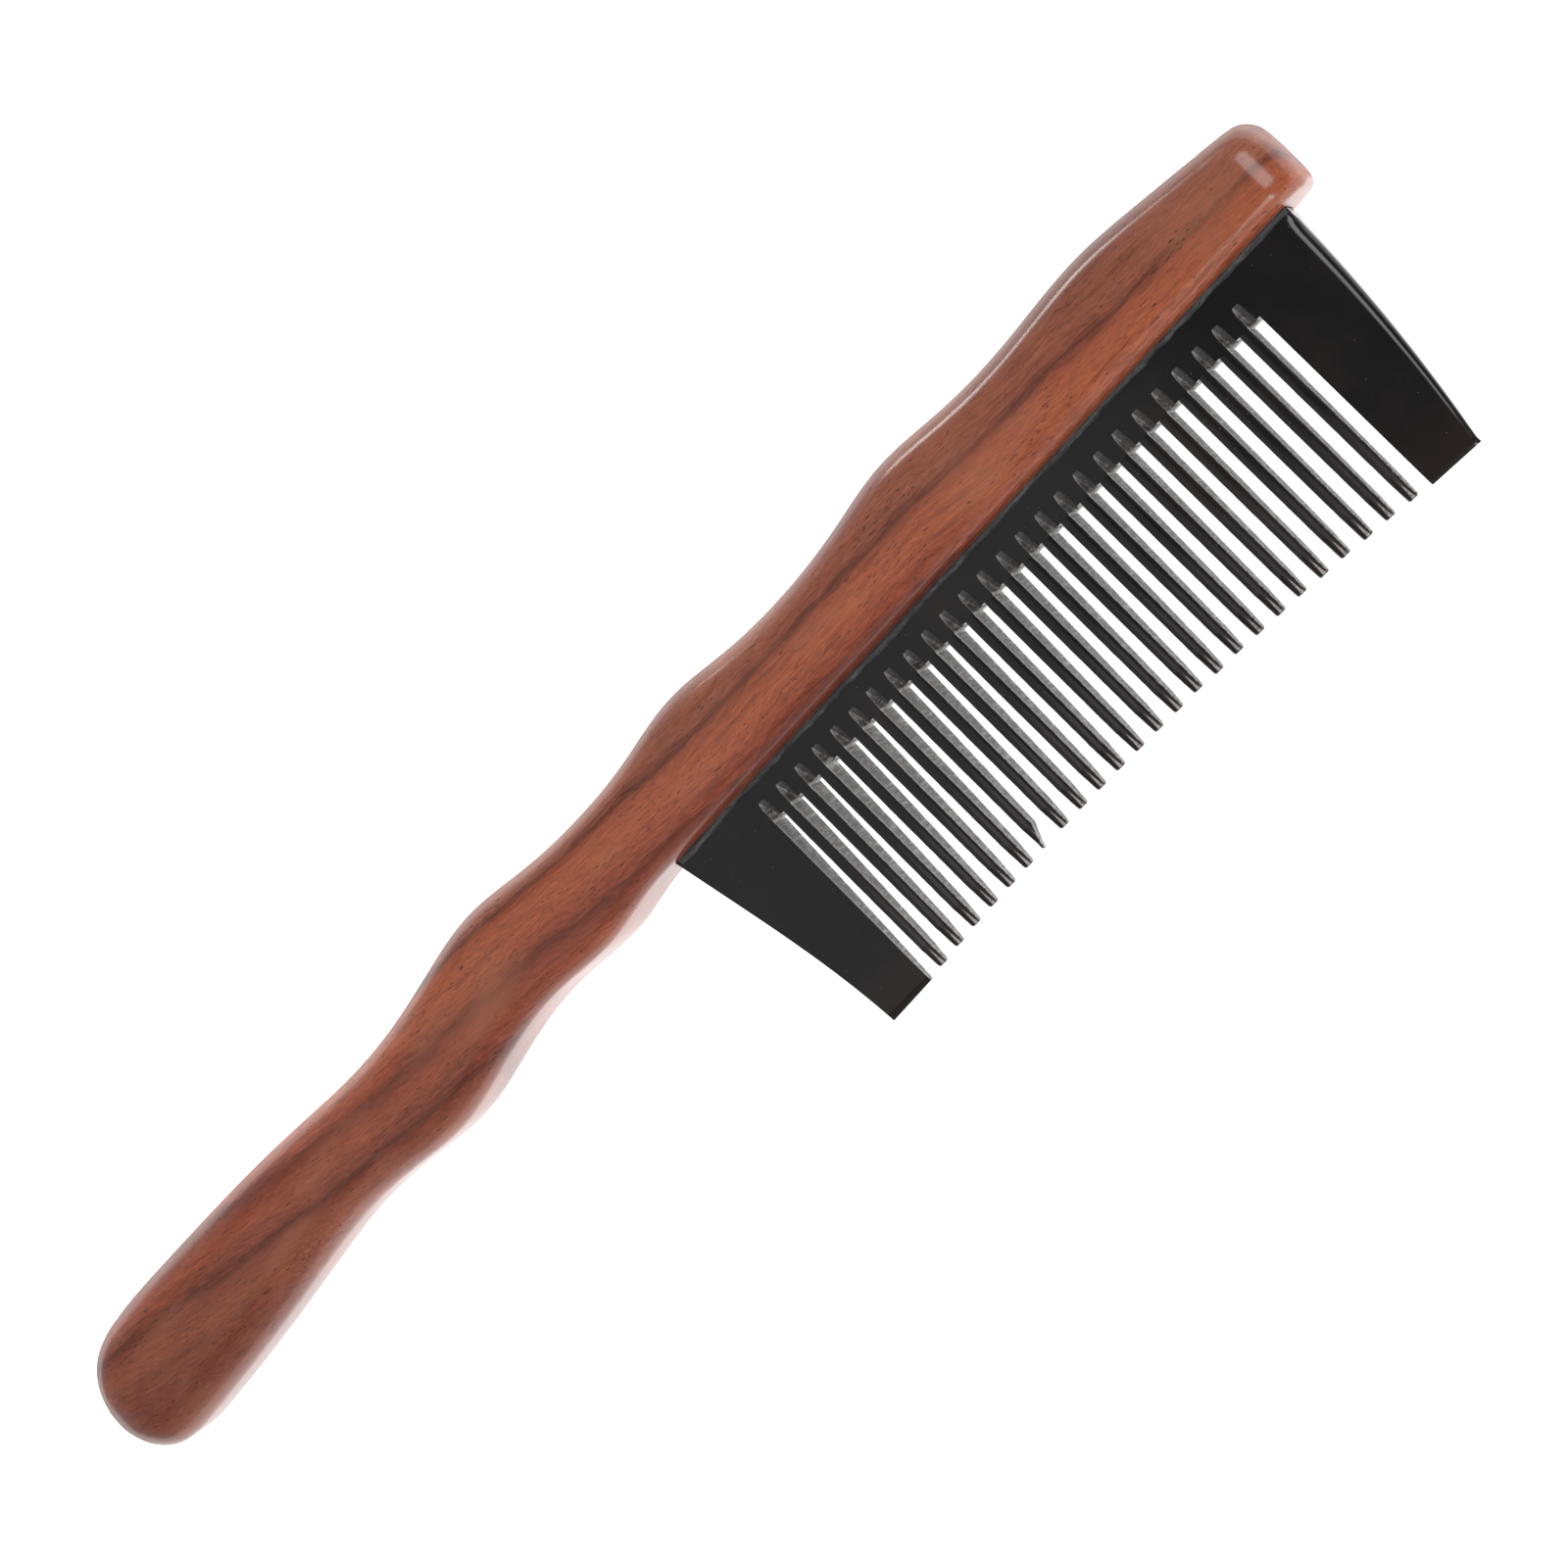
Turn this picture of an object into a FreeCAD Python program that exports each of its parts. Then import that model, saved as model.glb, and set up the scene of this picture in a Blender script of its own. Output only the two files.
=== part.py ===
import FreeCAD, Part
import os

import Sketcher
from FreeCAD import Placement, Rotation, Vector

# A hair comb: one carved wooden handle, one slab of horn cut into teeth, and the
# cured glue that holds the slab's tongue in a groove of the handle.
#
# Every piece is drawn in the comb's own frame, in millimetres: x runs along the
# comb with 0 at the middle of the row of teeth, y runs across it with 0 at the
# roots of the teeth and the handle at +y, and z = 0 is the middle plane of the
# thickness. The placements then move the comb so that it lies on z = 0 with the
# centre of its outline above the origin.

DIMENSIONS = {
    # handle
    "handle_thickness": 13.0,
    "handle_edge_round": 3.2,
    "head_corner_round": 3.4,
    "butt_end": -155.5,
    "head_end": 51.9,
    "head_top": 15.2,
    "spine_crest": 18.4,
    # joint between the handle and the slab
    "joint_height": 5.3,
    "joint_rise": 0.013,
    "joint_start": -50.1,
    "joint_end": 47.9,
    "groove_depth": 6.2,
    "groove_width": 4.8,
    "bead_height": 0.75,
    "bead_reach": 0.7,
    "bead_slope": 0.5,
    "end_film": 0.2,
    # horn slab
    "slab_thickness": 4.5,
    "tongue_depth": 6.0,
    "taper_start": 3.9,
    "tip_thickness": 1.2,
    "guard_tip": -24.6,
    "tooth_tip": -22.4,
    "tip_arc_radius": 399.0,
    "tip_grind_length": 3.0,
    "tip_flat": 0.8,
    "tip_stock": 0.3,
    "outer_bevel": 0.55,
    # teeth
    "pitch": 3.0,
    "slot_count": 26,
    "slot_width": 1.78,
    "cutter_radius": 30.0,
    "cutter_width": 1.35,
    "cutter_rim_width": 0.8,
    "cutter_rim_depth": 0.8,
    "cutter_centre_y": -20.6,
    "cutter_centre_z": 21.2,
    "chipped_tooth": 7,
    "chip_length": 2.7,
    "chip_width": 1.05,
}

# The carved line of the handle, from the head's upper corner over the finger
# waves of the spine, round the butt and back along the under side to the slab.
# A wave has its crest, its hollow and a point on each flank.
SPINE_WAVES = [
    (46.3, 16.0), (38.5, 17.05), (29.2, 18.05), (21.0, 17.6), (13.0, 17.25),
    (5.8, 17.8), (-0.5, 18.4), (-9.5, 17.2), (-20.0, 16.4), (-28.5, 16.9),
    (-36.6, 17.9), (-45.8, 16.7), (-55.5, 16.2), (-63.5, 16.75), (-72.4, 17.95),
    (-84.0, 16.4), (-97.6, 15.1), (-108.2, 15.8), (-118.0, 16.3), (-132.0, 16.4),
]
BUTT = [
    (-140.7, 16.3), (-149.0, 15.2), (-153.6, 12.4), (-155.5, 7.3),
    (-154.3, 2.2), (-150.9, -0.4),
]
UNDER_SIDE = [
    (-144.0, -0.9), (-136.3, -0.3), (-119.8, 1.6), (-109.0, 2.6), (-100.8, 2.1),
    (-91.5, 1.25), (-82.0, 2.9), (-71.5, 4.1), (-60.5, 3.5),
]

# The outer edges of the two wide guard teeth, from the joint to the tip.
REAR_GUARD_EDGE = [(-50.0, 5.0), (-47.5, -6.3), (-46.2, -12.7), (-44.6, -24.6)]
HEAD_GUARD_EDGE = [(47.9, 5.0), (46.75, -11.0), (44.7, -24.4)]

# A length beyond any edge that a cut has to pass.
CLEAR = 6.0
# How far the joint's straight edge runs on behind the slab.
UNDER_CUT = 2.0
# How many points of a long curve each of its edges spans.
POINTS_PER_EDGE = 3

doc = FreeCAD.newDocument("hair_comb")
sheet = doc.addObject("Spreadsheet::Sheet", "Sizes")
for row, (alias, value) in enumerate(DIMENSIONS.items(), start=1):
    sheet.set(f"A{row}", alias)
    sheet.set(f"B{row}", str(value))
    sheet.setAlias(f"B{row}", alias)
doc.recompute()


def size(alias):
    """A driving dimension, read back from the sheet."""
    return float(getattr(sheet, alias))


def joint_y(x, below=0.0):
    """Height of the handle's edge over the slab, or of a line below that edge."""
    return size("joint_height") + x * size("joint_rise") - below


def new_body(label):
    body = doc.addObject("PartDesign::Body", label)
    body.Label = label
    return body


def place(body):
    """Lay the comb on z = 0 with the centre of its outline above the origin."""
    body.setExpression("Placement.Base.x", "-(Sizes.butt_end + Sizes.head_end) / 2")
    body.setExpression("Placement.Base.y", "-(Sizes.guard_tip + Sizes.spine_crest) / 2")
    body.setExpression("Placement.Base.z", "Sizes.handle_thickness / 2")


def new_sketch(body, name, role, height=None):
    """A sketch on one of the body's origin planes, or at a height above it."""
    sketch = body.newObject("Sketcher::SketchObject", name)
    plane = next(item for item in body.Origin.OriginFeatures if item.Role == role)
    sketch.AttachmentSupport = [(plane, "")]
    sketch.MapMode = "FlatFace"
    if height:
        sketch.setExpression("AttachmentOffset.Base.z", height)
    return sketch


def add_curve(sketch, points, end_tangents=None):
    """Add one smooth curve through the points, as a chain of short edges."""
    through = [Vector(x, y, 0) for x, y in points]
    along = [0.0]
    for here, there in zip(through, through[1:]):
        along.append(along[-1] + here.distanceToPoint(there))
    ends = {}
    if end_tangents:
        ends = {"InitialTangent": end_tangents[0], "FinalTangent": end_tangents[1]}
    curve = Part.BSplineCurve()
    curve.interpolate(Points=through, Parameters=along, **ends)
    stops = along[:-1:POINTS_PER_EDGE] + [along[-1]]
    for start, stop in zip(stops, stops[1:]):
        edge = curve.copy()
        edge.segment(start, stop)
        sketch.addGeometry(edge)


def add_arc(sketch, points):
    """Add the arc through three points."""
    start, middle, end = [Vector(x, y, 0) for x, y in points]
    sketch.addGeometry(Part.Arc(start, middle, end))


def add_lines(sketch, points, closed=False):
    """Add straight lines from point to point."""
    corners = list(points) + [points[0]] if closed else list(points)
    for (x0, y0), (x1, y1) in zip(corners, corners[1:]):
        sketch.addGeometry(Part.LineSegment(Vector(x0, y0, 0), Vector(x1, y1, 0)))


def add_rectangle(sketch, left, right, low, high):
    """Add a rectangle whose four sides are formulas on the sheet."""
    x0, x1, y0, y1 = [float(sketch.evalExpression(side)) for side in (left, right, low, high)]
    first = sketch.GeometryCount
    add_lines(sketch, [(x0, y0), (x1, y0), (x1, y1), (x0, y1)], closed=True)
    for step in range(4):
        edge, following = first + step, first + (step + 1) % 4
        sketch.addConstraint(Sketcher.Constraint("Coincident", edge, 2, following, 1))
    for step, direction in enumerate(("Horizontal", "Vertical", "Horizontal", "Vertical")):
        sketch.addConstraint(Sketcher.Constraint(direction, first + step))
    sides = (
        ("left", "DistanceX", first, left),
        ("right", "DistanceX", first + 1, right),
        ("low", "DistanceY", first, low),
        ("high", "DistanceY", first + 2, high),
    )
    for name, kind, edge, formula in sides:
        value = float(sketch.evalExpression(formula))
        index = sketch.addConstraint(Sketcher.Constraint(kind, -1, 1, edge, 1, value))
        sketch.renameConstraint(index, name)
        sketch.setExpression("Constraints." + name, formula)


def add_pad(body, name, sketch, thickness):
    """Thicken a sketch equally to both sides of its plane."""
    pad = body.newObject("PartDesign::Pad", name)
    pad.Profile = sketch
    pad.Midplane = True
    pad.setExpression("Length", thickness)
    doc.recompute()
    return pad


def add_pocket(body, name, sketch, thickness=None):
    """Cut a sketch through everything, or to a thickness about its plane."""
    before = body.Shape.Volume
    pocket = body.newObject("PartDesign::Pocket", name)
    pocket.Profile = sketch
    pocket.Midplane = True
    if thickness:
        pocket.setExpression("Length", thickness)
    else:
        pocket.Type = "ThroughAll"
    doc.recompute()
    check_cut(name, before, body)
    return pocket


def add_groove(body, name, sketch, sweep):
    """Cut a sketch turned about its own construction line."""
    before = body.Shape.Volume
    groove = body.newObject("PartDesign::Groove", name)
    groove.Profile = sketch
    groove.ReferenceAxis = (sketch, ["Axis0"])
    groove.Angle = sweep
    groove.Midplane = sweep < 360
    doc.recompute()
    check_cut(name, before, body)
    return groove


def check_cut(name, before, body):
    removed = before - body.Shape.Volume
    if removed <= 0:
        raise RuntimeError(f"{name} cuts nothing")
    print(f"{name}: removes {removed:.2f} mm3")


def dress(body, kind, name, subshapes, alias):
    """Add a Fillet or a Chamfer to edges or faces of the body's tip."""
    base = body.Tip
    feature = body.newObject("PartDesign::" + kind, name)
    feature.Base = (base, subshapes)
    feature.setExpression("Radius" if kind == "Fillet" else "Size", "Sizes." + alias)
    doc.recompute()
    return feature


def edges_where(body, test):
    """Names of the edges of the body's own solid whose middle passes a test."""
    names = []
    for index, edge in enumerate(body.Tip.Shape.Edges, start=1):
        middle = edge.valueAt((edge.FirstParameter + edge.LastParameter) / 2)
        if test(middle, edge):
            names.append(f"Edge{index}")
    return names


def make_handle():
    """The carved handle: an outline with rounded edges and a groove for the slab."""
    body = new_body("wood_handle")
    outline = new_sketch(body, "handle_outline", "XY_Plane")
    head = size("head_end")
    rear = size("joint_start") - UNDER_CUT
    under_start = (rear, joint_y(rear))
    under_end = (head, joint_y(head))
    corner = (head, size("head_top"))
    along_joint = Vector(1.0, size("joint_rise"), 0)
    carved = [corner] + SPINE_WAVES + BUTT + UNDER_SIDE + [under_start]
    add_curve(outline, carved, (Vector(-1.0, 0.15, 0), along_joint))
    add_lines(outline, [under_start, under_end, corner])
    add_pad(body, "handle_block", outline, "Sizes.handle_thickness")

    def is_head_corner(middle, edge):
        return abs(middle.x - head) < 0.01 and abs(middle.z) < 0.01

    corners = edges_where(body, is_head_corner)
    dress(body, "Fillet", "head_corners", corners, "head_corner_round")

    half = size("handle_thickness") / 2

    def is_rim(middle, edge):
        return abs(abs(middle.z) - half) < 0.01

    dress(body, "Fillet", "edge_rounds", edges_where(body, is_rim), "handle_edge_round")

    groove = new_sketch(body, "tongue_groove_outline", "XY_Plane")
    add_lines(groove, joint_strip(CLEAR, size("groove_depth")), closed=True)
    add_pocket(body, "tongue_groove", groove, "Sizes.groove_width")
    place(body)
    return body


def joint_strip(below, above):
    """Corners of a strip along the joint, a little longer than the slab is there."""
    left = size("joint_start") - size("end_film")
    right = size("joint_end") + size("end_film")
    return [
        (left, joint_y(left, below)),
        (right, joint_y(right, below)),
        (right, joint_y(right, -above)),
        (left, joint_y(left, -above)),
    ]


def tongue_top():
    """The two corners of the slab's tongue, deepest in the handle."""
    left, right = size("joint_start"), size("joint_end")
    depth = size("tongue_depth")
    return [(right, joint_y(right, -depth)), (left, joint_y(left, -depth))]


def half_thickness(y):
    """Half the slab's thickness on the ground faces, which thin to the tips."""
    start = size("taper_start")
    full = size("slab_thickness") / 2
    thin = size("tip_thickness") / 2
    return full - (full - thin) * (start - y) / (start - size("guard_tip"))


def tip_y(x):
    """Height of the arc on which the tooth tips lie."""
    radius = size("tip_arc_radius")
    return size("tooth_tip") - radius + (radius**2 - x**2) ** 0.5


def make_slab():
    """The horn slab: tapered to the tips, with a tongue, guard teeth and slots."""
    body = new_body("horn_comb_slab")
    outline = new_sketch(body, "slab_outline", "XY_Plane")
    reach = size("slot_count") * size("pitch") / 2
    blank_end = [(x, tip_y(x) - size("tip_stock")) for x in (-reach, 0.0, reach)]
    add_curve(outline, REAR_GUARD_EDGE)
    add_lines(outline, [REAR_GUARD_EDGE[-1], blank_end[0]])
    add_arc(outline, blank_end)
    add_lines(outline, [blank_end[-1], HEAD_GUARD_EDGE[-1]])
    add_arc(outline, HEAD_GUARD_EDGE[::-1])
    add_lines(outline, [HEAD_GUARD_EDGE[0], *tongue_top(), REAR_GUARD_EDGE[0]])
    add_pad(body, "slab", outline, "Sizes.slab_thickness")
    cut_taper(body)
    cut_tips(body)
    bevel_outer_edges(body)
    cut_slots(body)
    cut_chip(body)
    place(body)
    return body


def cut_taper(body):
    """Grind both faces so that the slab thins evenly from the joint to the tips."""
    sketch = new_sketch(body, "taper_section", "YZ_Plane")
    start = size("taper_start")
    end = size("guard_tip") - CLEAR
    for side in (1, -1):
        corners = [
            (start, side * half_thickness(start)),
            (end, side * half_thickness(end)),
            (end, side * CLEAR),
            (start, side * CLEAR),
        ]
        add_lines(sketch, corners, closed=True)
    add_pocket(body, "taper", sketch)


def cut_tips(body):
    """Grind the ends of the teeth thinner and round, along their common arc."""
    sketch = new_sketch(body, "tip_section", "YZ_Plane")
    tip = size("tooth_tip")
    ground = tip + size("tip_grind_length")
    thick = half_thickness(ground)
    flat = size("tip_flat") / 2
    bend = tip + flat
    outside = tip - CLEAR
    add_lines(sketch, [(bend, flat), (ground, thick), (ground, CLEAR), (outside, CLEAR)])
    add_lines(sketch, [(outside, CLEAR), (outside, -CLEAR)])
    add_lines(sketch, [(outside, -CLEAR), (ground, -CLEAR), (ground, -thick), (bend, -flat)])
    add_arc(sketch, [(bend, -flat), (tip, 0.0), (bend, flat)])
    centre = tip - size("tip_arc_radius")
    axis = Part.LineSegment(Vector(centre, -1, 0), Vector(centre, 1, 0))
    sketch.addGeometry(axis, True)
    add_groove(body, "tip_grinding", sketch, 20.0)


def bevel_outer_edges(body):
    """Bevel the long outer edges of both guard teeth, front and back."""

    def is_outer_edge(middle, edge):
        return abs(middle.x) > 43.0 and abs(middle.z) > 0.8 and edge.Length > 15.0 and middle.y < 4.0

    dress(body, "Chamfer", "outer_bevels", edges_where(body, is_outer_edge), "outer_bevel")


def cut_slots(body):
    """Saw the slots between the teeth, each with the cutter's run-out at its root."""
    first = "-(Sizes.slot_count - 1) * Sizes.pitch / 2"
    slot = new_sketch(body, "slot_outline", "XY_Plane")
    left = f"{first} - Sizes.slot_width / 2"
    right = f"{first} + Sizes.slot_width / 2"
    add_rectangle(slot, left, right, f"Sizes.guard_tip - {CLEAR}", "0")
    sawn = add_pocket(body, "slot", slot)

    section = new_sketch(body, "cutter_section", "XY_Plane", "Sizes.cutter_centre_z")
    middle = float(section.evalExpression(first))
    rim = size("cutter_centre_y") + size("cutter_radius")
    shoulder = rim - size("cutter_rim_depth")
    inner = rim - CLEAR
    wide = size("cutter_width") / 2
    narrow = size("cutter_rim_width") / 2
    corners = [
        (middle - wide, inner), (middle + wide, inner), (middle + wide, shoulder),
        (middle + narrow, rim), (middle - narrow, rim), (middle - wide, shoulder),
    ]
    add_lines(section, corners, closed=True)
    centre = size("cutter_centre_y")
    axis = Part.LineSegment(Vector(middle - 1, centre, 0), Vector(middle + 1, centre, 0))
    section.addGeometry(axis, True)
    runout = add_groove(body, "cutter_runout", section, 360.0)

    row = body.newObject("PartDesign::LinearPattern", "slot_row")
    row.Originals = [sawn, runout]
    row.Direction = (slot, ["H_Axis"])
    row.setExpression("Length", "(Sizes.slot_count - 1) * Sizes.pitch")
    row.setExpression("Occurrences", "Sizes.slot_count")
    body.Tip = row
    doc.recompute()


def cut_chip(body):
    """Break the corner off one tooth's tip, slanting down to a point."""
    tooth = size("chipped_tooth") - size("slot_count") / 2
    middle = tooth * size("pitch")
    right = middle + (size("pitch") - size("slot_width")) / 2
    tip = tip_y(middle)
    sketch = new_sketch(body, "chip_outline", "XY_Plane")
    corners = [
        (right + 0.3, tip + size("chip_length") + 0.3),
        (right + 0.3, tip - 1.0),
        (right - size("chip_width"), tip - 1.0),
        (right - size("chip_width"), tip),
    ]
    add_lines(sketch, corners, closed=True)
    add_pocket(body, "chip", sketch)


def make_glue():
    """The cured glue: a thin channel round the tongue with a bead at the joint."""
    body = new_body("glue_bond")
    film = new_sketch(body, "film_outline", "XY_Plane")
    add_lines(film, joint_strip(0.0, size("groove_depth")), closed=True)
    add_pad(body, "film", film, "Sizes.groove_width")
    bead = new_sketch(body, "bead_outline", "XY_Plane")
    add_lines(bead, joint_strip(size("bead_height"), 0.0), closed=True)
    add_pad(body, "bead", bead, "Sizes.slab_thickness + 2 * Sizes.bead_reach")

    def is_bead_rim(middle, edge):
        return edge.Length > 50.0 and abs(middle.z) > size("groove_width") / 2 and middle.y < joint_y(0.0, 0.3)

    dress(body, "Chamfer", "bead_slopes", edges_where(body, is_bead_rim), "bead_slope")
    room = new_sketch(body, "tongue_outline", "XY_Plane")
    below = size("bead_height") + CLEAR
    foot = [(x, joint_y(x, below)) for x in (REAR_GUARD_EDGE[0][0], HEAD_GUARD_EDGE[0][0])]
    corners = [REAR_GUARD_EDGE[0], foot[0], foot[1], HEAD_GUARD_EDGE[0], *tongue_top()]
    add_lines(room, corners, closed=True)
    add_pocket(body, "tongue_room", room, "Sizes.slab_thickness")
    place(body)
    return body


def check_document():
    """Stop before anything is written if a feature or a piece has failed."""
    doc.recompute()
    for item in doc.Objects:
        if "Invalid" in item.State or "Error" in item.State:
            raise RuntimeError(f"{item.Name} failed: {item.State}")
    for body in pieces:
        shape = body.Shape
        if shape.isNull() or not shape.isValid() or len(shape.Solids) != 1:
            raise RuntimeError(f"{body.Label} is not one valid solid")
        print(f"{body.Label}: {shape.Volume:.1f} mm3")


pieces = [make_handle(), make_slab(), make_glue()]
check_document()
os.makedirs("parts", exist_ok=True)
for body in pieces:
    body.Shape.exportStep(f"parts/{body.Label}.step")
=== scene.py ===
import math

import bmesh
import bpy
import numpy as np
from mathutils import Matrix, Vector, noise


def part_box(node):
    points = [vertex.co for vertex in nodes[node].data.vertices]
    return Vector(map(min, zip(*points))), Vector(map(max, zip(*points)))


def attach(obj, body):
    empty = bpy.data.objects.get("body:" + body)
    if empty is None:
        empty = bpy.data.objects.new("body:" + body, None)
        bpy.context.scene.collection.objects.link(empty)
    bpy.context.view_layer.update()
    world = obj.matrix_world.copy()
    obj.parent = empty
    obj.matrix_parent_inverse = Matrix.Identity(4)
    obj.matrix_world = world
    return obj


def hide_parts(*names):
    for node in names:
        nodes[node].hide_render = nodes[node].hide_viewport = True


# A hair comb lying on a pale floor: a carved, lacquered wooden handle, a slab of
# black horn sawn into teeth, and a wavy line of cured glue where the two meet.
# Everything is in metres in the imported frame: x along the comb with the teeth
# towards +x, y across it with the handle's spine at +y, z = 0 the floor.

MM = 0.001
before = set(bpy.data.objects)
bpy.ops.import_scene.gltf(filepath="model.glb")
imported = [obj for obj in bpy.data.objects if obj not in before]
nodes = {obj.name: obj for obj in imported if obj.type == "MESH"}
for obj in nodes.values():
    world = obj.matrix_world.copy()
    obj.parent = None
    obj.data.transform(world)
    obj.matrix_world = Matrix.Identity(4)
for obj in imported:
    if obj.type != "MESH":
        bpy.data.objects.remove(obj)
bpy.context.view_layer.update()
handle_low, handle_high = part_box("wood_handle")
slab_low, slab_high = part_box("horn_comb_slab")
glue_low, glue_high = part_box("glue_bond")
middle_z = (handle_low.z + handle_high.z) / 2
half_thick = (handle_high.z - handle_low.z) / 2

# The joint edge of the handle, and the groove that takes the slab's tongue.
JOINT_SLOPE = 0.013
JOINT_START_Y = 7.75 * MM
GROOVE_WIDTH = 4.8 * MM
GROOVE_DEPTH = 6.2 * MM
GROOVE_OVERCUT = 2 * MM


def joint_y(x):
    """Height of the handle's edge over the slab."""
    return JOINT_START_Y + (x - glue_low.x) * JOINT_SLOPE


# ------------------------------------------------------------------ mesh helpers


def new_object(name, mesh):
    """Put a finished bmesh into the scene as an object of its own."""
    data = bpy.data.meshes.new(name)
    mesh.to_mesh(data)
    mesh.free()
    piece = bpy.data.objects.new(name, data)
    bpy.context.scene.collection.objects.link(piece)
    return piece


def smooth(mesh, sharp_degrees=40.0):
    mesh.shade_smooth()
    mesh.set_sharp_from_angle(angle=math.radians(sharp_degrees))


def bridge(mesh, rings, flip=False):
    """Skin neighbouring rings of vertices with quads."""
    for a, b in zip(rings, rings[1:]):
        for k in range(len(a)):
            n = (k + 1) % len(a)
            mesh.faces.new((a[k], a[n], b[n], b[k]) if flip else (a[k], b[k], b[n], a[n]))


def apply_modifiers(piece):
    bpy.context.view_layer.update()
    depsgraph = bpy.context.evaluated_depsgraph_get()
    result = bpy.data.meshes.new_from_object(piece.evaluated_get(depsgraph))
    piece.modifiers.clear()
    piece.data = result


def subtract(piece, cutter):
    """Cut one mesh away from another for good."""
    cut = piece.modifiers.new("cut", "BOOLEAN")
    cut.operation = "DIFFERENCE"
    cut.object = cutter
    cut.solver = "EXACT"
    apply_modifiers(piece)
    bpy.data.objects.remove(cutter)


def section_lines(node, height):
    """Where the node's surface crosses a level plane, as (x0, y0, x1, y1) rows."""
    mesh = nodes[node].data
    mesh.calc_loop_triangles()
    points = np.array([v.co for v in mesh.vertices], float)
    rows = []
    for triangle in mesh.loop_triangles:
        corners = points[list(triangle.vertices)]
        crossing = []
        for a, b in ((0, 1), (1, 2), (2, 0)):
            za, zb = corners[a][2] - height, corners[b][2] - height
            if (za > 0) != (zb > 0):
                share = za / (za - zb)
                crossing.append(corners[a][:2] + share * (corners[b][:2] - corners[a][:2]))
        if len(crossing) == 2:
            rows.append([*crossing[0], *crossing[1]])
    return np.array(rows)


def edges_at(lines, x):
    """Lowest and highest y of the section at one x."""
    x0, y0, x1, y1 = lines.T
    hit = (np.minimum(x0, x1) <= x) & (np.maximum(x0, x1) >= x) & (np.abs(x1 - x0) > 1e-9)
    y = y0[hit] + (x - x0[hit]) / (x1[hit] - x0[hit]) * (y1[hit] - y0[hit])
    return y.min(), y.max()


# ------------------------------------------------------------------ wooden handle

# The outline is read from the frame at this height over the middle, clear of the groove.
OUTLINE_HEIGHT = 2.9 * MM
STATIONS = 250
# How far each end's rounding reaches in, how full its curve is, and its steps.
BUTT_REACH, BUTT_FULLNESS, BUTT_STEPS = 8.0 * MM, 2.3, 22
HEAD_REACH, HEAD_FULLNESS, HEAD_STEPS = 4.2 * MM, 2.0, 18
# The outline is eased between these distances from its ends, and below only behind the slab.
EASED_FROM_BUTT, EASED_FROM_HEAD, CLEAR_OF_SLAB = 10 * MM, 6 * MM, 3 * MM
SPINE_EASING, GRIP_EASING = 2.4 * MM, 1.6 * MM
# The head's two corners in plan, and where the edges before them are straight.
SPINE_CORNER, JOINT_CORNER = 2.1 * MM, 1.2 * MM
STRAIGHT_FROM, STRAIGHT_TO = 9 * MM, 5 * MM
# In millimetres at the head, with how much more in the grip: edge radii, and the faces' crown.
SPINE_EDGE, LOWER_EDGE, CROWN = (3.3, 1.0), (2.3, 2.0), (0.25, 0.25)
GRIP_START, GRIP_LENGTH = 10 * MM, 50 * MM
CORNER_POINTS, FACE_STEPS = 11, 8
THINNEST_END = 0.2 * MM
END_CAP_SHARE = 0.8


def eased(values, stations, radius):
    """Weighted moving average along the stations, which irons out facets."""
    out = values.copy()
    for i, x in enumerate(stations):
        weight = np.exp(-(((stations - x) / radius) ** 2))
        out[i] = (weight * values).sum() / weight.sum()
    return out


def end_profile(reach, fullness, count):
    """Distances in from an end with the share of full thickness reached there."""
    steps = []
    for i in range(1, count):
        angle = math.pi / 2 * i / count
        along = reach * (1 - math.cos(angle) ** (2 / fullness))
        steps.append((along, math.sin(angle) ** (2 / fullness)))
    return steps


def handle_stations():
    """Positions along the handle, each with how much its faces are drawn in."""
    stations = []
    for along, share in end_profile(BUTT_REACH, BUTT_FULLNESS, BUTT_STEPS):
        stations.append((handle_low.x + along, half_thick * (1 - share)))
    first, last = handle_low.x + BUTT_REACH, handle_high.x - HEAD_REACH
    for i in range(STATIONS + 1):
        stations.append((first + (last - first) * i / STATIONS, 0.0))
    for along, share in end_profile(HEAD_REACH, HEAD_FULLNESS, HEAD_STEPS)[::-1]:
        stations.append((handle_high.x - along, HEAD_REACH * (1 - share)))
    return stations


def head_corner(xs, edge, sign, radius):
    """Carry an edge straight on to the head's end and round its corner."""
    before = (xs > handle_high.x - STRAIGHT_FROM) & (xs < handle_high.x - STRAIGHT_TO)
    slope, start = np.polyfit(xs[before], edge[before], 1)
    straight = start + slope * xs
    past = np.clip(xs - (handle_high.x - radius), 0.0, radius)
    corner = straight - sign * (radius - np.sqrt(radius**2 - past**2))
    return np.where(xs > handle_high.x - STRAIGHT_TO, corner, edge)


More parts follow.
